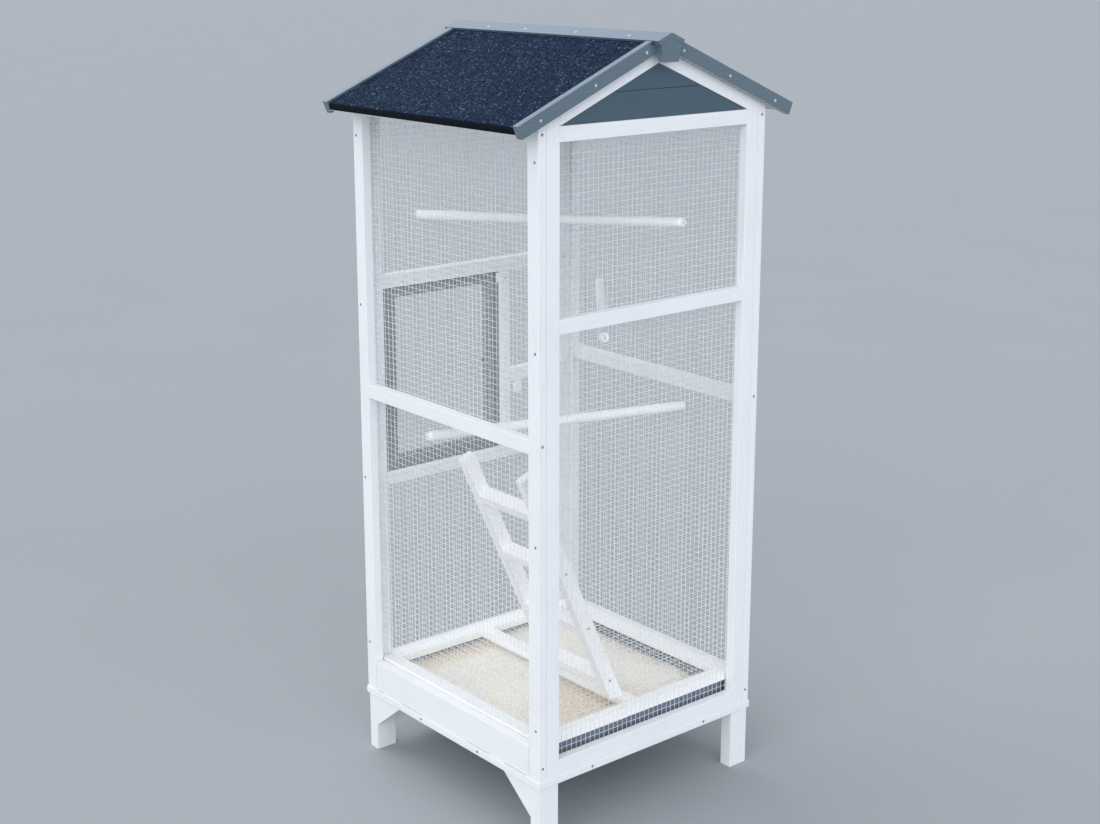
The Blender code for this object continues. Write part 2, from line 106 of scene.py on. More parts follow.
def board_scale(run, across, along):
    """A pattern's scale from its size in metres across a board and along its run."""
    scale = [1 / across] * 3
    scale["XYZ".index(run)] = 1 / along
    return scale


def painted_fir(name, colour, run, worn=0.10, gloss=(0.42, 0.6), enamel=0.0):
    """Water-based satin paint brushed on planed fir. The eye gets an even colour that follows the board, with
    faint raised grain along its length, softer and harder gloss from the brush, and knots that show through
    as a slight stain."""
    made, tree, shader, at = start(name, IOR=1.47, Coat_Weight=enamel, Coat_Roughness=0.12)
    # growth rings stand 2 to 3 mm apart on a flat-sawn face and run for about 12 cm before they wander
    rings = add(tree, "ShaderNodeMapping", {"Vector": at, "Scale": board_scale(run, 0.0026, 0.12)}).outputs[0]
    grain = add(tree, "ShaderNodeTexNoise", {"Vector": rings, "Scale": 1.0, "Detail": 3.0, "Roughness": 0.6})
    # brush marks: about 6 mm wide here, because the real 1 mm bristle lines are finer than a pixel
    strokes = add(tree, "ShaderNodeMapping", {"Vector": at, "Scale": board_scale(run, 0.006, 0.3)}).outputs[0]
    marks = {"Vector": strokes, "Scale": 1.0, "Detail": 2.0, "Distortion": 0.4}
    brush = add(tree, "ShaderNodeTexNoise", marks)
    # hand-sized patches where the coat is thicker or thinner
    cloudy = add(tree, "ShaderNodeTexNoise", {"Vector": at, "Scale": 9.0, "Detail": 4.0})
    # a knot every few decimetres, darkest over 12 mm and faded out at 34 mm
    spread = add(tree, "ShaderNodeMapping", {"Vector": at, "Scale": board_scale(run, 0.2, 0.3125)}).outputs[0]
    cells = add(tree, "ShaderNodeTexVoronoi", {"Vector": spread, "Scale": 1.0, "Randomness": 0.9})
    knot = add(tree, "ShaderNodeMapRange", {0: cells.outputs["Distance"], 1: 0.03, 2: 0.085, 3: 1.0, 4: 0.0})
    light = Vector(srgb(colour))
    thin = light * (1 - worn)
    warm = [thin[0] * 0.98, thin[1] * 0.93, thin[2] * 0.84, 1]
    dark = [*thin[:3], 1]
    faint = add(tree, "ShaderNodeMapRange", {0: cloudy.outputs[0], 1: 0.35, 2: 0.75, 3: 0.0, 4: 1.0})
    lines = add(tree, "ShaderNodeMapRange", {0: grain.outputs[0], 1: 0.35, 2: 0.7, 3: 0.0, 4: 1.0})
    both = add(tree, "ShaderNodeMath", {0: lines.outputs[0], 1: faint.outputs[0]}, operation="MULTIPLY")
    tone = add(tree, "ShaderNodeMix", {0: both.outputs[0], 6: list(light), 7: dark}, data_type="RGBA")
    stain = add(tree, "ShaderNodeMath", {0: knot.outputs[0], 1: 0.45}, operation="MULTIPLY")
    final = add(tree, "ShaderNodeMix", {0: stain.outputs[0], 6: tone.outputs[2], 7: warm}, data_type="RGBA")
    sheen = add(tree, "ShaderNodeMapRange", {0: brush.outputs[0], 1: 0.3, 2: 0.7, 3: gloss[0], 4: gloss[1]})
    relief = add(tree, "ShaderNodeMath", {0: grain.outputs[0], 1: brush.outputs[0]}, operation="ADD")
    bump = add(tree, "ShaderNodeBump", {"Height": relief.outputs[0], "Strength": 0.35, "Distance": 0.0005})
    wire_up(tree, shader, final, sheen, bump)
    return made


def roofing_felt():
    """Bitumen felt faced with crushed slate: a near-black navy, with painted glints where single granules are
    drawn pale blue as if they caught the light."""
    made, tree, shader, at = start("mineral_roofing_felt", Specular_IOR_Level=0.05)
    # the granules are about 1.5 mm, drawn at 3 mm so that they show
    grit = add(tree, "ShaderNodeTexVoronoi", {"Vector": at, "Scale": 1 / 0.003, "Randomness": 1.0})
    shade = add(tree, "ShaderNodeSeparateColor", {0: grit.outputs["Color"]})
    # the sheet's own weave of thick and thin bitumen, in patches of a few centimetres
    patch = add(tree, "ShaderNodeTexNoise", {"Vector": at, "Scale": 34.0, "Detail": 5.0, "Roughness": 0.65})
    pale = add(tree, "ShaderNodeMapRange", {0: shade.outputs[0], 1: 0.5, 2: 1.0, 3: 0.0, 4: 1.0})
    mixed = add(tree, "ShaderNodeMath", {0: pale.outputs[0], 1: patch.outputs[0]}, operation="MULTIPLY")
    navy, worn_navy = srgb("#09172A"), srgb("#284B72")
    tone = add(tree, "ShaderNodeMix", {0: mixed.outputs[0], 6: navy, 7: worn_navy}, data_type="RGBA")
    # painted highlight: one granule in thirty is drawn pale blue as a glint, as if its face caught the light
    glint_mask = add(tree, "ShaderNodeMapRange", {0: shade.outputs[2], 1: 0.965, 2: 0.975, 3: 0.0, 4: 0.3})
    glint_colours = {0: glint_mask.outputs[0], 6: tone.outputs[2], 7: srgb("#A9BDD6")}
    glinted = add(tree, "ShaderNodeMix", glint_colours, data_type="RGBA")
    # the hem that is folded down over the eave has lost its granules
    height = add(tree, "ShaderNodeSeparateXYZ", {0: at}).outputs["Z"]
    hem = add(tree, "ShaderNodeMapRange", {0: height, 1: HEM_Z + 0.0006, 2: HEM_Z, 3: 0.0, 4: 1.0}).outputs[0]
    bare = add(tree, "ShaderNodeMix", {0: hem, 6: glinted.outputs[2], 7: srgb("#10141C")}, data_type="RGBA")
    gloss = add(tree, "ShaderNodeMapRange", {0: shade.outputs[1], 1: 0.0, 2: 1.0, 3: 0.42, 4: 0.9})
    rough = add(tree, "ShaderNodeMapRange", {0: hem, 3: 0.8, 4: 0.15}).outputs[0]
    relief = {"Height": grit.outputs["Distance"], "Strength": rough, "Distance": 0.001}
    bump = add(tree, "ShaderNodeBump", relief)
    wire_up(tree, shader, bare, gloss, bump)
    return made


def galvanised(name, colour, rough, spangle, metal=1.0):
    """Zinc-coated steel, or with metal at 0 a coated sheet. It gives a soft sheen that is brighter and duller
    in patches the size of its spangle, with a faint uneven bloom."""
    made, tree, shader, at = start(name, Metallic=metal)
    crystals = add(tree, "ShaderNodeTexVoronoi", {"Vector": at, "Scale": 1 / spangle})
    facet = add(tree, "ShaderNodeSeparateColor", {0: crystals.outputs["Color"]})
    bloom = add(tree, "ShaderNodeTexNoise", {"Vector": at, "Scale": 60.0, "Detail": 4.0})
    base = Vector(srgb(colour))
    dull = [*(base * 0.82)[:3], 1]
    tone = add(tree, "ShaderNodeMix", {0: facet.outputs[0], 6: dull, 7: list(base)}, data_type="RGBA")
    span = {0: bloom.outputs[0], 1: 0.3, 2: 0.7, 3: rough - 0.08, 4: rough + 0.12}
    gloss = add(tree, "ShaderNodeMapRange", span)
    bump = add(tree, "ShaderNodeBump", {"Height": bloom.outputs[0], "Strength": 0.2, "Distance": 0.0002})
    wire_up(tree, shader, tone, gloss, bump)
    return made


def bedding(name, light, dark, grain_mm, seed, spills):
    """Dry plant bedding: matt, each chip its own tone. spills are the places and radii of scattered seed."""
    made, tree, shader, at = start(name, Specular_IOR_Level=0.2)
    chips = add(tree, "ShaderNodeTexVoronoi", {"Vector": at, "Scale": 1000 / grain_mm})
    shade = add(tree, "ShaderNodeSeparateColor", {0: chips.outputs["Color"]})
    dust = add(tree, "ShaderNodeTexNoise", {"Vector": at, "Scale": 22.0, "Detail": 6.0, "Roughness": 0.7})
    both = add(tree, "ShaderNodeMath", {0: shade.outputs[0], 1: dust.outputs[0]}, operation="MULTIPLY")
    tone = add(tree, "ShaderNodeMix", {0: both.outputs[0], 6: srgb(light), 7: srgb(dark)}, data_type="RGBA")
    for middle, reach in spills:
        near = add(tree, "ShaderNodeVectorMath", {0: at, 1: middle}, operation="DISTANCE").outputs["Value"]
        fade = add(tree, "ShaderNodeMapRange", {0: near, 1: reach * 0.3, 2: reach, 3: 0.75, 4: 0.0})
        share = add(tree, "ShaderNodeMath", {0: fade.outputs[0], 1: shade.outputs[1]}, operation="MULTIPLY")
        colours = {0: share.outputs[0], 6: tone.outputs[2], 7: srgb(seed)}
        tone = add(tree, "ShaderNodeMix", colours, data_type="RGBA")
    gloss = add(tree, "ShaderNodeMapRange", {0: shade.outputs[2], 3: 0.75, 4: 0.98})
    relief = {"Height": chips.outputs["Distance"], "Strength": 0.6, "Distance": 0.001}
    bump = add(tree, "ShaderNodeBump", relief)
    wire_up(tree, shader, tone, gloss, bump)
    return made


white = {run: painted_fir(f"white_satin_paint_{run}", "#EEF0F3", run) for run in "XYZ"}
grey = painted_fir("grey_satin_paint_Z", "#8F9499", "Z")
glossy = {"gloss": (0.2, 0.34), "enamel": 1.0}
slate = {run: painted_fir(f"slate_satin_paint_{run}", "#596C78", run, **glossy) for run in "XY"}
dark_grey = painted_fir("dark_grey_satin_paint_X", "#445B69", "X", worn=0.14)
# painted light: the dowels' limewash is written brighter than the white paint, standing in for the stronger
# light inside the cage
dowel_wood = painted_fir("brightened_limewashed_beech", "#F4F5F8", "X", worn=0.05)
# painted light: the ladder and the floor frame inside get a brighter copy of the white paint, standing in for
# the stronger light inside the cage
lit_white = {run: painted_fir(f"lit_white_paint_{run}", "#F9FAFA", run, worn=0.04) for run in "YZ"}
deck_wood = painted_fir("primed_fir_boards", "#C9CBCB", "Y", worn=0.2)
felt = roofing_felt()
# thin wire renders darker than it is, so its zinc is written pale and only a quarter metal
wire_zinc = galvanised("galvanised_wire", "#F8FAFA", 0.38, 0.006, metal=0.25)
plate_zinc = galvanised("bright_zinc_plate", "#B4B8BC", 0.34, 0.004)
screw_steel = galvanised("dulled_screw_steel", "#5A5D61", 0.4, 0.003)
tray_coat = galvanised("dark_coated_sheet", "#7C8A9C", 0.45, 0.012, metal=0.0)
# seed lies round the ladder's foot, and in a narrow band along the door side
seed_z, band_y = 0.186, -0.235
spills = [((0.045, 0.16, seed_z), 0.16), *(((x, band_y, seed_z), 0.05) for x in (0.05, 0.1, 0.15, 0.2))]
litter = bedding("maize_cob_litter", "#FFFBF0", "#F7EAD4", 3.0, "#D9B27C", spills)
# painted shadow: a dark grey strip stands for the shade in the joints between the panels
joint_shadow = galvanised("joint_shadow_strip", "#565B63", 0.6, 0.01, metal=0.0)


# Pieces that the model already has


def dress(prefixes, material, soften=0.0009):
    """Gives CAD nodes their finish and softens their sawn edges."""
    for name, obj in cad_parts.items():
        if not name.startswith(prefixes):
            continue
        if not obj.material_slots:
            obj.data.materials.append(None)
        for slot in obj.material_slots:
            slot.link = "OBJECT"
            slot.material = material
        if soften:
            weld = obj.modifiers.new("weld", "WELD")
            weld.merge_threshold = 1e-5
            bevel = obj.modifiers.new("soften", "BEVEL")
            bevel.width, bevel.segments, bevel.limit_method = soften, 2, "ANGLE"
            bevel.angle_limit = math.radians(40)


dress(("leg_", "stile_", "door_post"), white["Z"])
dress(("ladder",), lit_white["Z"])
dress(("rail_back", "rail_front", "rail_door", "rafters_", "stretcher"), white["X"])
dress(("rail_left", "rail_right", "board_left", "gusset", "ledge"), white["Y"])
dress(("door_frame",), grey)
dress(("barge_",), slate["X"])
dress(("ridge_cap",), slate["Y"])
dress(("roof_",), deck_wood, 0)
dress(("hinge_", "bolt"), plate_zinc, 0.0002)
dress(("tray",), tray_coat, 0)


# Making and placing pieces


def piece(name, mesh, material, body="cage", slot=None, replaces=(), smooth=False):
    """Names a mesh, gives it its finish and hangs it on its body."""
    obj = bpy.data.objects.new(name, mesh)
    bpy.context.scene.collection.objects.link(obj)
    mesh.materials.clear()
    mesh.materials.append(material)
    mesh.polygons.foreach_set("material_index", [0] * len(mesh.polygons))
    mesh.polygons.foreach_set("use_smooth", [smooth] * len(mesh.polygons))
    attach(obj, body)
    if replaces:
        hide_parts(*replaces)


def plain_mesh(bm):
    mesh = bpy.data.meshes.new("made")
    bm.to_mesh(mesh)
    bm.free()
    return mesh


def mesh_of(bm):
    """A shape's mesh, its faces turned outward."""
    bmesh.ops.recalc_face_normals(bm, faces=bm.faces)
    return plain_mesh(bm)


def joined(meshes):
    """Several meshes as one."""
    bm = bmesh.new()
    for mesh in meshes:
        bm.from_mesh(mesh)
    return plain_mesh(bm)


def upward_part(mesh, least):
    """The faces of a mesh whose normals rise at least this much."""
    bm = bmesh.new()
    bm.from_mesh(mesh)
    bmesh.ops.delete(bm, geom=[f for f in bm.faces if f.normal.z < least], context="FACES")
    return mesh_of(bm)


def skin(bm, rows, closed=False):
    """Quads between neighbouring rows of points; closed joins the rows' ends as well."""
    for one, two in zip(rows, rows[1:]):
        for i in range(len(one) if closed else len(one) - 1):
            j = (i + 1) % len(one)
            bm.faces.new((one[i], one[j], two[j], two[i]))


def boards(solids, edge=0.0009):
    """Prisms, each from its outline at the two ends, with softened edges."""
    bm = bmesh.new()
    for ends in solids:
        rows = [[bm.verts.new(p) for p in outline] for outline in ends]
        bm.faces.new(rows[0])
        bm.faces.new(rows[1])
        skin(bm, rows, closed=True)
    bmesh.ops.bevel(bm, geom=bm.edges[:], offset=edge, segments=2, profile=0.6, affect="EDGES")
    return mesh_of(bm)


def block(u, v, z):
    outline = ((u[0], v[0]), (u[1], v[0]), (u[1], v[1]), (u[0], v[1]))
    return [[place(a, b, k) for a, b in outline] for k in z]


# Geometry Nodes


def new_tree(name, sockets):
    """A Geometry Nodes tree with its named inputs, and the node that gives them."""
    tree = bpy.data.node_groups.new(name, "GeometryNodeTree")
    tree.interface.new_socket("Geometry", in_out="INPUT", socket_type="NodeSocketGeometry")
    for label, kind in sockets.items():
        tree.interface.new_socket(label, in_out="INPUT", socket_type=f"NodeSocket{kind}")
    tree.interface.new_socket("Geometry", in_out="OUTPUT", socket_type="NodeSocketGeometry")
    return tree, add(tree, "NodeGroupInput").outputs


def close_tree(tree, geometry, material):
    real = add(tree, "GeometryNodeRealizeInstances", {0: geometry})
    done = add(tree, "GeometryNodeSetMaterial", {"Geometry": real.outputs[0], "Material": material})
    add(tree, "NodeGroupOutput", {0: done.outputs[0]})
    return tree


def grow(tree, mesh, values):
    """Runs a tree once on a mesh with these inputs and gives back the plain mesh."""
    host = bpy.data.objects.new("host", mesh)
    bpy.context.scene.collection.objects.link(host)
    modifier = host.modifiers.new("grow", "NODES")
    modifier.node_group = tree
    for item in tree.interface.items_tree:
        if item.item_type == "SOCKET" and item.in_out == "INPUT" and item.name in values:
            modifier[item.identifier] = values[item.name]
    bpy.context.view_layer.update()
    made = bpy.data.meshes.new_from_object(host.evaluated_get(bpy.context.evaluated_depsgraph_get()))
    bpy.data.objects.remove(host)
    return made


def welded_mesh_tree():
    """Welded wire mesh in its own plane: uprights along Y, cross wires along X lying on them, and a slight
    slackness that fades towards the stapled edges."""
    sockets = {"Columns": "Int", "Rows": "Int", "Step": "Float", "Wire": "Float", "Slack": "Float"}
    tree, given = new_tree("welded mesh", {**sockets, "Seed": "Int", "Finish": "Material"})
    step, wire, past_weld = given["Step"], given["Wire"], 0.003
    half = add(tree, "ShaderNodeMath", {0: wire, 1: 0.5}, operation="MULTIPLY").outputs[0]
    circle = add(tree, "GeometryNodeCurvePrimitiveCircle", {"Resolution": 6, "Radius": half}).outputs[0]
    lift = add(tree, "ShaderNodeMath", {0: wire, 1: 0.85}, operation="MULTIPLY").outputs[0]
    sides = {}
    for way, count in (("X", given["Columns"]), ("Y", given["Rows"])):
        gaps = add(tree, "ShaderNodeMath", {0: count, 1: 1.0}, operation="SUBTRACT").outputs[0]
        sides[way] = add(tree, "ShaderNodeMath", {0: gaps, 1: step}, operation="MULTIPLY").outputs[0]
    both = add(tree, "GeometryNodeJoinGeometry")
    for way, across, count, other in (("Y", "X", "Columns", "Rows"), ("X", "Y", "Rows", "Columns")):
        end = add(tree, "ShaderNodeMath", {0: sides[way], 1: past_weld}, operation="ADD").outputs[0]
        height = 0.0 if way == "Y" else lift
        a = add(tree, "ShaderNodeCombineXYZ", {way: -past_weld, "Z": height}).outputs[0]
        b = add(tree, "ShaderNodeCombineXYZ", {way: end, "Z": height}).outputs[0]
        line = add(tree, "GeometryNodeCurvePrimitiveLine", {"Start": a, "End": b}).outputs[0]
        points = add(tree, "ShaderNodeMath", {0: given[other], 1: 0.5}, operation="MULTIPLY").outputs[0]
        split = add(tree, "GeometryNodeResampleCurve", {"Curve": line, "Count": points}).outputs[0]
        swept = {"Curve": split, "Profile Curve": circle, "Fill Caps": True}
        rod = add(tree, "GeometryNodeCurveToMesh", swept).outputs[0]
        offset = add(tree, "ShaderNodeCombineXYZ", {across: step}).outputs[0]
        row = add(tree, "GeometryNodeMeshLine", {"Count": given[count], "Offset": offset}).outputs[0]
        wires = add(tree, "GeometryNodeInstanceOnPoints", {"Points": row, "Instance": rod}).outputs[0]
        tree.links.new(wires, both.inputs[0])
    real = add(tree, "GeometryNodeRealizeInstances", {0: both.outputs[0]}).outputs[0]
    here = add(tree, "GeometryNodeInputPosition").outputs[0]
    at = add(tree, "ShaderNodeSeparateXYZ", {0: here}).outputs
    edges = []
    for way in "XY":
        back = add(tree, "ShaderNodeMath", {0: sides[way], 1: at[way]}, operation="SUBTRACT").outputs[0]
        edges.append(add(tree, "ShaderNodeMath", {0: at[way], 1: back}, operation="MINIMUM").outputs[0])
    nearest = add(tree, "ShaderNodeMath", {0: edges[0], 1: edges[1]}, operation="MINIMUM").outputs[0]
    # held still up to 15 mm from an edge, free from 10 cm on
    fade = {0: nearest, 1: 0.015, 2: 0.1, 3: 0.0, 4: 1.0}
    inside = add(tree, "ShaderNodeMapRange", fade, interpolation_type="SMOOTHSTEP").outputs[0]
    seed_at = add(tree, "ShaderNodeVectorMath", {0: here, 1: given["Seed"]}, operation="ADD").outputs[0]
    swell = add(tree, "ShaderNodeTexNoise", {"Vector": seed_at, "Scale": 9.0, "Detail": 1.0}).outputs[0]
    bulge = add(tree, "ShaderNodeMath", {0: swell, 1: given["Slack"]}, operation="MULTIPLY").outputs[0]
    out = add(tree, "ShaderNodeMath", {0: bulge, 1: inside}, operation="MULTIPLY").outputs[0]
    # each wire also wanders by up to 1.5 mm in the mesh's own plane
    wander = add(tree, "ShaderNodeTexNoise", {"Vector": seed_at, "Scale": 24.0, "Detail": 1.0}).outputs[1]
    level = add(tree, "ShaderNodeVectorMath", {0: wander, 1: (0.5, 0.5, 0.5)}, operation="SUBTRACT")
    sideways = {0: level.outputs[0], 1: (0.003, 0.003, 0.0)}
    small = add(tree, "ShaderNodeVectorMath", sideways, operation="MULTIPLY").outputs[0]
    push = add(tree, "ShaderNodeCombineXYZ", {"Z": out}).outputs[0]
    shift = add(tree, "ShaderNodeVectorMath", {0: small, 1: push}, operation="ADD").outputs[0]
    moved = add(tree, "GeometryNodeSetPosition", {"Geometry": real, "Offset": shift}).outputs[0]
    return close_tree(tree, moved, given["Finish"])


def fixings_tree():
    """A copy of one fixing on each point. Its Z turns to the point's facing, its X to the point's along."""
    tree, given = new_tree("fixings", {"Fixing": "Object", "Size": "Float", "Finish": "Material"})
    shape = add(tree, "GeometryNodeObjectInfo", {"Object": given["Fixing"]}).outputs["Geometry"]
    read = [
        add(tree, "GeometryNodeInputNamedAttribute", {"Name": label}, data_type="FLOAT_VECTOR").outputs[0]
        for label in ("facing", "along")
    ]
    up = add(tree, "FunctionNodeAlignRotationToVector", {"Vector": read[0]}, axis="Z").outputs[0]
    lying = {"Rotation": up, "Vector": read[1]}
    turned = add(tree, "FunctionNodeAlignRotationToVector", lying, axis="X", pivot_axis="Z").outputs[0]
    copies = add(
        tree, "GeometryNodeInstanceOnPoints",
        {"Points": given["Geometry"], "Instance": shape, "Rotation": turned, "Scale": given["Size"]},
    )
    return close_tree(tree, copies.outputs[0], given["Finish"])


def scatter_tree():
    """Loose grains strewn over a surface, each turned and sized at random."""
    sockets = {"Grain": "Object", "Per square metre": "Float", "Smallest": "Float", "Largest": "Float"}
    tree, given = new_tree("strewn grains", {**sockets, "Seed": "Int", "Finish": "Material"})
    seed = given["Seed"]
    spread = add(
        tree, "GeometryNodeDistributePointsOnFaces",
        {"Mesh": given["Geometry"], "Density": given["Per square metre"], "Seed": seed},
    )
    sizes = {2: given["Smallest"], 3: given["Largest"], "Seed": seed}
    size = add(tree, "FunctionNodeRandomValue", sizes).outputs[1]
    # tipped by up to half a radian, and turned any way
    turns = {0: (-0.5, -0.5, 0.0), 1: (0.5, 0.5, 6.28), "Seed": seed}
    spin = add(tree, "FunctionNodeRandomValue", turns, data_type="FLOAT_VECTOR").outputs[0]
    turn = add(tree, "FunctionNodeEulerToRotation", {0: spin}).outputs[0]
    shape = add(tree, "GeometryNodeObjectInfo", {"Object": given["Grain"]}).outputs["Geometry"]
    copies = add(
        tree, "GeometryNodeInstanceOnPoints",
        {"Points": spread.outputs[0], "Instance": shape, "Rotation": turn, "Scale": size},
    )
    return close_tree(tree, copies.outputs[0], given["Finish"])


mesh_tree, fixings, strewn = welded_mesh_tree(), fixings_tree(), scatter_tree()


def shape_only(name, bm):
    """A shape that the trees copy. It isn't shown itself."""
    obj = bpy.data.objects.new(name, mesh_of(bm))
    bpy.context.scene.collection.objects.link(obj)
    return obj


# Welded mesh


def wire_patch(origin, across, up, columns, rows, seed, slack=0.002):
    """A patch of mesh from one corner, across and up; it swells towards across x up."""
    values = {"Columns": columns, "Rows": rows, "Step": MESH_STEP, "Wire": WIRE, "Slack": slack, "Seed": seed}
    made = grow(mesh_tree, bpy.data.meshes.new("none"), {**values, "Finish": wire_zinc})
    out = across.cross(up)
    turn = Matrix((across, up, out)).transposed().to_4x4()
    made.transform(Matrix.Translation(place(*origin) + out * WIRE * 0.6) @ turn)
    return made


def hang_mesh(name, mesh, replaces=(), body="cage"):
    piece(name, mesh, wire_zinc, body, slot="mesh_wire", replaces=replaces, smooth=True)


# the right wall's mesh starts higher than the others, above the tray's opening
WALL_COLUMNS, WALL_ROWS, RIGHT_ROWS = 44, 102, 97
MESH_LOW, RIGHT_LOW = BASE + 0.6, 22.6
made = wire_patch((2.8, MESH_AT, RIGHT_LOW), -Y, Z, WALL_COLUMNS, RIGHT_ROWS, seed=3)
hang_mesh("wire_right", made, ["mesh_right"])
made = wire_patch((57.4, WIDTH - MESH_AT, MESH_LOW), Y, Z, WALL_COLUMNS, WALL_ROWS, seed=11)
hang_mesh("wire_left", made, ["mesh_left"])
made = wire_patch((MESH_AT, 57.3, MESH_LOW), X, Z, WALL_COLUMNS, WALL_ROWS, seed=19)
hang_mesh("wire_back", made, ["mesh_back"])
# the front one goes round the doorway, in a patch below it, one above it and one beside it
cell = MESH_STEP * 100
front_u, front_v = LENGTH - MESH_AT, 2.75
below, above, beside = 39, 72, 28  # the rows under the doorway, and the row and the column where it ends
top_at, side_at = MESH_LOW + above * cell, (front_v + beside * cell, MESH_LOW + (below - 1) * cell)
side_size = (WALL_COLUMNS - beside, above - below + 2)
patches = [
    wire_patch((front_u, front_v, MESH_LOW), -X, Z, WALL_COLUMNS, below, seed=23),
    wire_patch((front_u, front_v, top_at), -X, Z, WALL_COLUMNS, WALL_ROWS - above, seed=23),
    wire_patch((front_u, *side_at), -X, Z, *side_size, seed=23, slack=0.0),
]
hang_mesh("wire_front", joined(patches), ["mesh_front"])
made = wire_patch((LENGTH - 1.68, 7.72, 67.35), -X, Z, columns=22, rows=30, seed=31, slack=0.001)
hang_mesh("wire_door", made, ["door_mesh"], "door")
made = wire_patch((55.6, 55.0, FLOOR_LOW - 0.05), X, Y, columns=40, rows=40, seed=37, slack=0.0)
hang_mesh("wire_floor", made)


# Floor frame, perches, tray board, siding and joints

rim_u, rim_v = (2.3, 58.3), (2.3, 57.8)
depth, butt = (FLOOR_LOW + 0.1, FLOOR_TOP), 0.02  # butt is the gap where one board ends on another
in_u, in_v = (rim_u[0] + STILE, rim_u[1] - STILE), (rim_v[0] + STILE, rim_v[1] - STILE)
bar_u, bar_v = (in_u[0] + butt, in_u[1] - butt), (in_v[0] + butt, in_v[1] - butt)
solids = [block(rim_u, v, depth) for v in ((rim_v[0], in_v[0]), (in_v[1], rim_v[1]))]
solids += [block(u, bar_v, depth) for u in ((rim_u[0], in_u[0]), (in_u[1], rim_u[1]))]
solids.append(block(bar_u, (WIDTH / 2 - STILE / 2, WIDTH / 2 + STILE / 2), depth))
piece("floor_frame", boards(solids), lit_white["Y"], slot="white_paint", replaces=["floor_grid"])


def dowel(a, b, seed):
    """A turned rod whose line and girth wander by a fraction of a millimetre."""
    radius, sides, long = 0.0105, 28, (b - a).length
    chamfer, cut = 0.0006, 0.0007  # the ends' broken edges, along the rod and off its radius
    bend, uneven = 0.0006, 0.00025  # the most that its line and its girth wander
    way = (b - a).normalized()
    side = way.cross(Z).normalized()
    rise = side.cross(way)
    bm = bmesh.new()
    rows = []
    stops = [0, chamfer, *np.linspace(0.006, long - 0.006, 24), long - chamfer, long]
    for k, along in enumerate(stops):
        girth = radius - cut if k in (0, len(stops) - 1) else radius
        bow = bend * noise.noise(Vector((along * 6, seed, 0)))
        row = []
        for i in range(sides):
            turn = 2 * math.pi * i / sides
            here = girth + uneven * noise.noise(Vector((along * 25, seed, turn)))
            off = (side * math.cos(turn) + rise * math.sin(turn)) * here + rise * bow
            row.append(bm.verts.new(a + way * along + off))
        rows.append(row)
    bm.faces.new(rows[0])
    bm.faces.new(rows[-1])
    skin(bm, rows, closed=True)
    return mesh_of(bm)


OUTWARD = {"right": X, "left": -X, "back": Y, "front": -Y}


def on_wall(wall, far, z, deep):
    """A place this deep behind a panel's outer face, at this distance along it."""
    near = {"right": deep, "left": WIDTH - deep, "back": deep, "front": LENGTH - deep}[wall]
    return (near, far, z) if wall in ("back", "front") else (far, near, z)


# each end: the wall that it meets, its place along that wall, and its height
PERCHES = {
    "low": (("right", 38.7, 78.0), ("left", 19.5, 78.9)),
    "middle": (("back", 18.4, 103.2), ("left", 47.9, 102.3)),
    "high": (("front", 14.5, 121.1), ("back", 39.2, 123.8)),
}
for k, (name, ends) in enumerate(PERCHES.items()):
    a, b = (place(*on_wall(*end, TIMBER + 0.3)) for end in ends)
    shown = {"slot": "white_paint", "replaces": [f"perch_{name}"], "smooth": True}
    piece(f"dowel_{name}", dowel(a, b, k * 7.3), dowel_wood, **shown)

# the tray's front board: its lower edge is hollow in four places, so it stands on what is left between them
board_u, board_z = (STILE + 0.15, LENGTH - STILE - 0.15), (BASE + 0.03, BASE + 6.75)
hollow, slant = 0.2, 0.25
outline = [(board_u[0], board_z[1]), (board_u[0], board_z[0])]
for a, b in ((3.9, 11.3), (15.7, 23.9), (39.7, 47.6), (54.9, 56.7)):
    top = board_z[0] + hollow
    outline += [(a, board_z[0]), (a + slant, top), (b - slant, top), (b, board_z[0])]
outline += [(board_u[1], board_z[0]), (board_u[1], board_z[1])]
solid = [[place(a, v, z) for a, z in outline] for v in (0.0, TIMBER)]
piece("tray_board", boards([solid], 0.0007), white["Y"], "tray", slot="white_paint", replaces=["tray_front"])

# a small block beside the door post, on the end of the short rail
solid = block((58.0, 58.58), (40.6, 42.9), (76.9, 79.5))
piece("post_block", boards([solid]), white["Z"], slot="white_paint")

# each gable's siding is two boards, one above the other, under the rafters
foot, split = 145.53, 151.0
peak = DECK_APEX - DECK_T - DECK_GAP - RAFTER_DEPTH / COS - 0.04
wide, narrow = (peak - foot) / PITCH, (peak - split) / PITCH
lower = [(-wide, foot), (wide, foot), (narrow, split - 0.06), (-narrow, split - 0.06)]
upper = [(-narrow, split + 0.02), (narrow, split + 0.02), (0, peak)]
for end, us in (("back", (0.25, 1.45)), ("front", (LENGTH - 1.45, LENGTH - 0.25))):
    solids = [[[place(u, RIDGE_V + a, z) for a, z in outline] for u in us] for outline in (lower, upper)]
    piece(f"cladding_{end}", boards(solids, 0.0006), dark_grey, slot="grey_paint", replaces=[f"siding_{end}"])

# painted shadow: a dark strip stands in each joint between the panels, for the shade where their softened
# edges meet
solids = []
for u in ((0.07, 1.8), (LENGTH - 1.8, LENGTH - 0.07)):
    for v in (TIMBER + 0.015, WIDTH - TIMBER - 0.015):
        solids.append(block(u, (v - 0.06, v + 0.06), (BASE + 0.1, 145.4)))
piece("panel_joints", boards(solids, 0.0002), joint_shadow, slot="white_paint")


# Roof felt


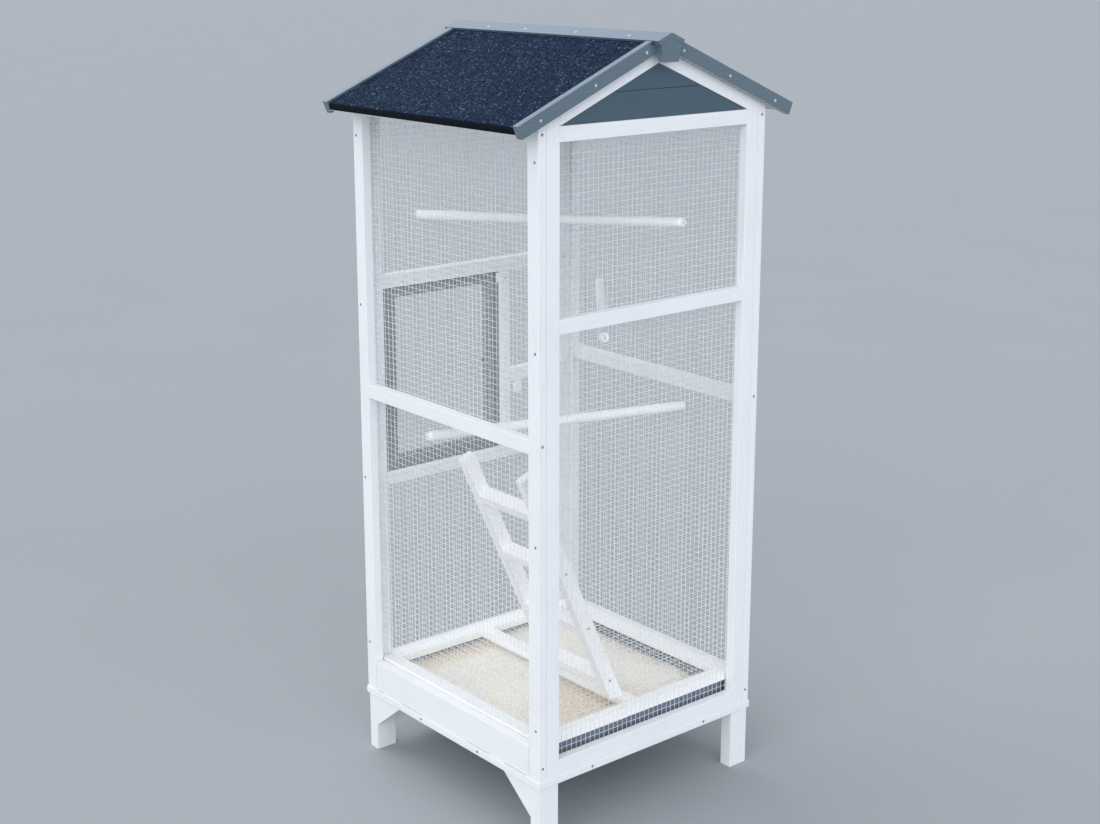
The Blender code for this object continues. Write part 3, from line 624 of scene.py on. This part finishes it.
def felt_sheet(way):
    """One slope's felt, laid on its board with a slight ripple and turned down over the eave. It is drawn
    5.5 mm thick on the slope."""
    thick, ripple_height = 0.55, 0.045
    rows = [(a, DECK_APEX - PITCH * a, True) for a in np.linspace(0.9, EAVE, 70)]
    # over the edge and down its face
    drop = DECK_APEX - PITCH * EAVE
    hem = ((0.1, 0.38), (0.16, 0.12), (0.17, -0.35), (0.165, -0.92))
    rows += [(EAVE + a, drop + b, False) for a, b in hem]
    us = np.linspace(-0.12, LENGTH + 0.12, 110)
    bm = bmesh.new()
    tops, unders = [], []
    for a, z, sloping in rows:
        top, under = [], []
        for u in us:
            ripple = ripple_height * noise.noise(Vector((a * 0.16, u * 0.13, way * 9.0)))
            raised = (thick + ripple) / COS if sloping else 0.1
            inward = 0.0 if sloping else 0.12
            top.append(bm.verts.new(place(u, RIDGE_V + way * a, z + raised)))
            under.append(bm.verts.new(place(u, RIDGE_V + way * a - way * inward, z + 0.01)))
        tops.append(top)
        unders.append(under)
    skin(bm, tops)
    skin(bm, unders)
    for side in (0, -1):
        skin(bm, [[row[side] for row in tops], [row[side] for row in unders]])
        skin(bm, [tops[side], unders[side]])
    return mesh_of(bm)


def grain_shape(name, sides, flat):
    """A faceted grain one unit across."""
    bm = bmesh.new()
    bmesh.ops.create_uvsphere(bm, u_segments=sides, v_segments=3, radius=0.5)
    for vert in bm.verts:
        vert.co.z *= flat
        vert.co += Vector((noise.noise(vert.co * 5), noise.noise(vert.co * 7), 0)) * 0.12
    return shape_only(name, bm)


granule = grain_shape("granule_shape", 5, 0.7)
chip = grain_shape("chip_shape", 4, 0.45)
for side, way in (("right", -1), ("left", 1)):
    sheet = felt_sheet(way)
    values = {"Grain": granule, "Per square metre": 14000.0, "Smallest": 0.0012, "Largest": 0.0026}
    bits = grow(strewn, upward_part(sheet, 0.8), {**values, "Seed": 5 + way, "Finish": felt})
    piece(f"felt_{side}", sheet, felt, slot="felt", smooth=True)
    piece(f"felt_granules_{side}", bits, felt, slot="felt")


# Litter in the tray


def litter_bed():
    """The bed's uneven top, which thins out raggedly towards the left, and its sides down to the tray."""
    far_v, thin, heap, fade_over, count = 55.2, 17.7, 1.35, 8.0, 107
    tray_floor = 0.1515  # in metres
    bm = bmesh.new()
    rows = []
    for u in np.linspace(3.9, 56.7, count):
        row = []
        for v in np.linspace(2.33, far_v, count):
            ragged = 2.4 * noise.noise(Vector((u * 0.3, v * 0.3, 7.0)))
            rise = min(1.0, max(0.0, (far_v + ragged - v) / fade_over))
            swell = 0.28 * noise.noise(Vector((u * 0.12, v * 0.12, 2.0)))
            lumps = 0.1 * noise.noise(Vector((u, v, 5.0)))
            z = thin + heap * rise * rise * (3 - 2 * rise)
            row.append(bm.verts.new(place(u, v, z + (swell + lumps))))
        rows.append(row)
    for one, two in zip(rows, rows[1:]):
        for j in range(count - 1):
            bm.faces.new((one[j], two[j], two[j + 1], one[j + 1]))
    left_side, right_side = [row[-1] for row in rows[1:-1]], [row[0] for row in rows[-2:0:-1]]
    rim = [*rows[0], *left_side, *reversed(rows[-1]), *right_side]
    foot = [bm.verts.new((vert.co.x, vert.co.y, tray_floor)) for vert in rim]
    skin(bm, [rim, foot], closed=True)
    bm.faces.new(foot)
    return mesh_of(bm)


bed = litter_bed()
values = {"Grain": chip, "Per square metre": 26000.0, "Smallest": 0.0022, "Largest": 0.0052, "Seed": 4}
chips = grow(strewn, upward_part(bed, 0.5), {**values, "Finish": litter})
piece("litter_bed", bed, litter, body="tray")
piece("litter_chips", chips, litter, body="tray")


# Screws and staples


def screw_shape():
    """A countersunk head one unit across, with a cross recess."""
    bm = bmesh.new()
    rim = [(math.cos(i * math.pi / 8) / 2, math.sin(i * math.pi / 8) / 2) for i in range(16)]
    narrow, reach = 0.07, 0.27
    arm = [(narrow, narrow), (reach, narrow), (reach, -narrow)]
    cross = []
    for _ in range(4):
        cross += arm
        arm = [(y, -x) for x, y in arm]
    rim = [bm.verts.new((x, y, 0.0)) for x, y in rim]
    cross = [bm.verts.new((x, y, 0.02)) for x, y in cross]
    edges = [bm.edges.new(pair) for loop in (rim, cross) for pair in zip(loop, loop[1:] + loop[:1])]
    bmesh.ops.triangle_fill(bm, edges=edges, use_beauty=True)
    for face in [f for f in bm.faces if all(v in cross for v in f.verts)]:
        bm.faces.remove(face)
    for loop, depth, size in ((cross, -0.2, 0.7), (rim, -0.25, 0.8)):
        lower = [bm.verts.new((v.co.x * size, v.co.y * size, depth)) for v in loop]
        skin(bm, [loop, lower], closed=True)
        bm.faces.new(lower)
    return shape_only("screw_shape", bm)


def staple_shape():
    """A wire staple one unit wide, its crown proud and its two legs driven in."""
    bm = bmesh.new()
    radius, leg_at = 0.055, 0.5
    half = [(-leg_at, -0.28), (-leg_at, -0.02), (-0.42, 0.06)]
    rows = []
    for x, z in half + [(-x, z) for x, z in reversed(half)]:
        # the wire's section lies level on the legs and upright on the crown
        leg, away = abs(x) == leg_at, (1 if x > 0 else -1)
        row = []
        for i in range(6):
            turn = i * math.pi / 3
            side, out = radius * math.cos(turn), radius * math.sin(turn)
            row.append(bm.verts.new((x + out * away, side, z) if leg else (x, side, z + out)))
        rows.append(row)
    skin(bm, rows, closed=True)
    bm.faces.new(rows[0])
    bm.faces.new(rows[-1])
    return shape_only("staple_shape", bm)


def washer_shape():
    """A flat washer one unit across, its edge rounded and its hole hidden under the screw's head."""
    bm = bmesh.new()
    turns = [2 * math.pi * i / 24 for i in range(24)]
    rows = []
    for radius, z in ((0.5, 0.0), (0.5, 0.045), (0.47, 0.07), (0.2, 0.07), (0.2, 0.0)):
        rows.append([bm.verts.new((radius * math.cos(t), radius * math.sin(t), z)) for t in turns])
    skin(bm, rows + rows[:1], closed=True)
    return shape_only("washer_shape", bm)


def fix(name, shape, spots, size, material, body="cage"):
    """One piece from many fixings; a spot is its place, the way it faces and the way it lies."""
    points = bpy.data.meshes.new("spots")
    points.from_pydata([tuple(s[0]) for s in spots], [], [])
    for k, label in ((1, "facing"), (2, "along")):
        attribute = points.attributes.new(label, "FLOAT_VECTOR", "POINT")
        attribute.data.foreach_set("vector", [x for s in spots for x in s[k]])
    made = grow(fixings, points, {"Fixing": shape, "Size": size, "Finish": material})
    piece(name, made, material, body=body, slot="zinc")


def drive(at, facing, proud=0.02):
    """A screw's spot, its recess turned by a hash of its place."""
    angle = math.sin(at[0] * 12.9898 + at[1] * 78.233 + at[2] * 37.7) * 3
    side = facing.orthogonal().normalized()
    turned = side * math.cos(angle) + facing.cross(side) * math.sin(angle)
    return place(*at) + facing * proud / 100, facing, turned


def drive_pair(v, z, apart, proud):
    """Two screws, one above the other, in a fitting that stands this proud of the door gable."""
    return [drive((LENGTH + proud, v, z + dz), -Y) for dz in (-apart, apart)]


screw, staple, washer = screw_shape(), staple_shape(), washer_shape()
HEAD, PERCH_HEAD, SMALL_HEAD, WASHER, STAPLE = 0.0055, 0.007, 0.0042, 0.017, 0.0095  # how wide each is

# the panels' corners, from the sides and from the gables
spots = []
for u in (1.05, LENGTH - 1.05):
    for z in (25.7, 64.4, 103.0, 139.1):
        spots += [drive((u, 0, z), X), drive((u, WIDTH, z), -X)]
for v in (0.95, WIDTH - 0.95):
    for z in (17.6, 84.8, 144.2):
        spots += [drive((0, v, z), Y), drive((LENGTH, v, z), -Y)]
# the ladder's rungs, from outside each rail, on the line that it leans along
top_v, top_z, lean_by = 3.718, 76.0, 0.4516
for u, out in ((8.0, Y), (28.8, -Y)):
    spots += [drive((u, top_v + (top_z - z) * lean_by, z), out) for z in (26.6, 40.05, 53.5, 66.95)]
# the ledge
spots += [drive((u, -0.25, 14.05), X) for u in (20.0, 40.0)]
spots += [drive((-0.25, v, 14.05), Y) for v in (14.0, 46.0)]
# the door stop
spots.append(drive((LENGTH - 2.0, 38.5, 103.9), Y))
fix("screws_cage", screw, spots, HEAD, screw_steel)

# the barge boards, and the ridge cap
spots = []
for u, out in ((-1.8, Y), (LENGTH + 1.8, -Y)):
    for a in (4.9, 17.7, 30.9):
        spots += [drive((u, RIDGE_V + way * a, RIDGE_Z - PITCH * a - 1.6), out) for way in (-1, 1)]
for u in (6.2, 22.0, 37.9, 50.2):
    for way in (-1, 1):
        out = Vector((-way * PITCH, 0, 1)).normalized()
        spots.append(drive((u, RIDGE_V + way * 2.1, RIDGE_Z - PITCH * 2.1), out))
fix("screws_roof_trim", screw, spots, HEAD, wire_zinc)

# each perch end is held by a screw through a washer that bridges the mesh
perch_spots = [(on_wall(*end, TIMBER - 0.01), OUTWARD[end[0]]) for ends in PERCHES.values() for end in ends]
spots = [drive(at, out, proud=0.13) for at, out in perch_spots]
fix("screws_perches", screw, spots, PERCH_HEAD, wire_zinc)
spots = [(place(*at), out, Z) for at, out in perch_spots]
fix("washers_perches", washer, spots, WASHER, wire_zinc)

LEAF, PLATE = 0.17, 0.13  # how far the hinges' leaves and the bolt's plate stand out
spots = [spot for z in HINGES for spot in drive_pair(6.8, z, 1.6, LEAF)]
spots += [spot for v in (34.0, 36.2) for spot in drive_pair(v, BOLT_Z, 0.75, PLATE)]
fix("screws_door", screw, spots, SMALL_HEAD, plate_zinc, body="door")
spots = [spot for z in HINGES for spot in drive_pair(3.8, z, 1.6, LEAF)]
fix("screws_hinge_post", screw, spots, SMALL_HEAD, plate_zinc)


def row_of(a, b, facing):
    """Staples about every 8.5 cm along a line of the frame, a little unevenly set and tilted."""
    gap, stray, tilt, proud = 0.085, 0.012, 0.35, 0.0021
    a, b = place(*a), place(*b)
    count = max(2, round((b - a).length / gap))
    way = (b - a).normalized()
    made = []
    for k in range(count):
        at = a + (b - a) * ((k + 0.5) / count) + way * stray * noise.noise(a * 37 + Vector((k * 1.7, 0, 0)))
        lean = tilt * noise.noise(b * 23 + Vector((k * 2.3, 1, 0)))
        along = way * math.cos(lean) + way.cross(facing) * math.sin(lean)
        made.append((at + facing * proud, facing, along))
    return made


# the staples run up the stiles and along the rails
RUN_LOW, RUN_HIGH, RUN_START, RUN_END = 24.0, 143.0, 6, 54
spots = []
for wall, facing in ((MESH_AT, -X), (WIDTH - MESH_AT, X)):
    for u in (3.0, LENGTH - 3.0):
        spots += row_of((u, wall, RUN_LOW), (u, wall, RUN_HIGH), facing)
    for z in (84.3, 144.0):
        spots += row_of((RUN_START, wall, z), (RUN_END, wall, z), facing)
back_levels, front_levels = (17.5, 107.5, 144.0), (20.5, 63.2, 107.3, 144.0)
for wall, facing, levels in ((MESH_AT, -Y, back_levels), (LENGTH - MESH_AT, Y, front_levels)):
    for v in (3.6, WIDTH - 3.6):
        spots += row_of((wall, v, RUN_LOW), (wall, v, RUN_HIGH), facing)
    for z in levels:
        spots += row_of((wall, RUN_START, z), (wall, RUN_END, z), facing)
fix("staples_cage", staple, spots, STAPLE, wire_zinc)

door_back = 58.93
spots = []
for z in (67.6, 104.0):
    spots += row_of((door_back, 9, z), (door_back, 33, z), Y)
for v in (8.1, 34.1):
    spots += row_of((door_back, v, 69), (door_back, v, 103), Y)
fix("staples_door", staple, spots, STAPLE, wire_zinc, body="door")

for shape in (granule, chip, screw, staple, washer):
    bpy.data.objects.remove(shape)


# Floor, light and camera

far, level = 90.0, -0.0004
ground = bpy.data.meshes.new("studio_floor")
corners = [(-far, -far, level), (far, -far, level), (far, far, level), (-far, far, level)]
ground.from_pydata(corners, [], [(0, 1, 2, 3)])
studio = bpy.data.objects.new("studio_floor", ground)
bpy.context.scene.collection.objects.link(studio)
floor_paint, tree, shader, at = start("matt_studio_floor", Specular_IOR_Level=0.1, Roughness=0.9)
mottle = add(tree, "ShaderNodeTexNoise", {"Vector": at, "Scale": 1.5, "Detail": 3.0})
greys = {0: mottle.outputs[0], 6: srgb("#A0A5AA"), 7: srgb("#A4A9AE")}
tone = add(tree, "ShaderNodeMix", greys, data_type="RGBA")
tree.links.new(tone.outputs[2], shader.inputs["Base Color"])
ground.materials.append(floor_paint)

# the sky that lights the scene is dimmer than the backdrop that the camera and the reflections see
world = bpy.data.worlds.new("studio_world")
bpy.context.scene.world = world
world.use_nodes = True
tree = world.node_tree
tree.nodes.clear()
path = add(tree, "ShaderNodeLightPath").outputs
seen = path["Is Camera Ray"]
for ray in ("Is Glossy Ray", "Is Transmission Ray"):
    seen = add(tree, "ShaderNodeMath", {0: seen, 1: path[ray]}, operation="MAXIMUM").outputs[0]
sky = add(tree, "ShaderNodeBackground", {"Color": srgb("#F4F8FF"), "Strength": 0.66})
backdrop = add(tree, "ShaderNodeBackground", {"Color": srgb("#DCE7FB"), "Strength": 1.0})
both = add(tree, "ShaderNodeMixShader", {0: seen, 1: sky.outputs[0], 2: backdrop.outputs[0]})
add(tree, "ShaderNodeOutputWorld", {0: both.outputs[0]})


def towards(azimuth, elevation):
    """The direction to a place in the sky: azimuth from +X towards +Y, both in degrees."""
    turn, rise = math.radians(azimuth), math.radians(elevation)
    return Vector((math.cos(turn) * math.cos(rise), math.sin(turn) * math.cos(rise), math.sin(rise)))


def broad_light(name, azimuth, elevation, spread, strength, colour):
    """Daylight from a patch of sky this many degrees across."""
    lamp = bpy.data.lights.new(name, "SUN")
    lamp.angle, lamp.energy, lamp.color = math.radians(spread), strength, srgb(colour)[:3]
    obj = bpy.data.objects.new(name, lamp)
    obj.rotation_euler = towards(azimuth, elevation).to_track_quat("Z", "Y").to_euler()
    bpy.context.scene.collection.objects.link(obj)


broad_light("window_light", 25, 24, 50, 1.15, "#FFFFFF")
broad_light("fill_light", 75, 24, 60, 1.05, "#F8FAFF")
broad_light("roof_light", 290, 50, 60, 1.05, "#FFFFFF")

# the camera fitted to the photograph, with a slight lens shift
PHOTO_WIDTH, FOCAL_PIXELS, SHIFT_PIXELS = 1100, 1713.487, 362.5 - 412
data = bpy.data.cameras.new("camera")
data.sensor_width = 36.0
data.lens = FOCAL_PIXELS / PHOTO_WIDTH * 36
data.shift_y = SHIFT_PIXELS / PHOTO_WIDTH
data.clip_end = 500
camera = bpy.data.objects.new("camera", data)
camera.location = (2.29137, 2.71124, 1.79417)
camera.rotation_euler = towards(230.02466, -13.98108).to_track_quat("-Z", "Y").to_euler()
bpy.context.scene.collection.objects.link(camera)
bpy.context.scene.camera = camera
bpy.context.scene.view_settings.view_transform = "Standard"
